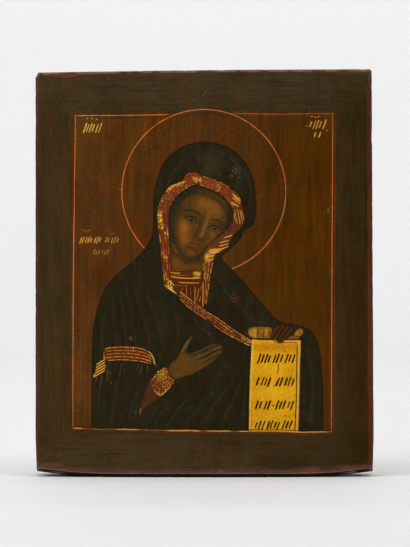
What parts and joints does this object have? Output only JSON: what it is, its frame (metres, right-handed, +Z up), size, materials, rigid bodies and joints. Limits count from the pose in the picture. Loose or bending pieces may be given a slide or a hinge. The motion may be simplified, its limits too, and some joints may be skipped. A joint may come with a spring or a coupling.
{
  "type": "icon panel",
  "caption": "Upright wooden panel with a slightly bowed painted face, flat painted border, worn corners and two dovetailed battens let into its back.",
  "frame": {"origin": "under the middle of the whole part, at the level that its lower edge stands on", "axes": "+Z up along the panel, -Y out of the painted face, +X to the right as one looks at the painting"},
  "size_m": [0.2629, 0.0404, 0.3166],
  "materials": {
    "painted_board": "tempera and darkened varnish over gesso on a wooden board, bare aged wood behind",
    "batten_wood": "planed aged wood, unvarnished"
  },
  "bodies": {
    "root": {"board": "painted_board", "upper_batten": "batten_wood", "lower_batten": "batten_wood"}
  },
  "joints": []
}
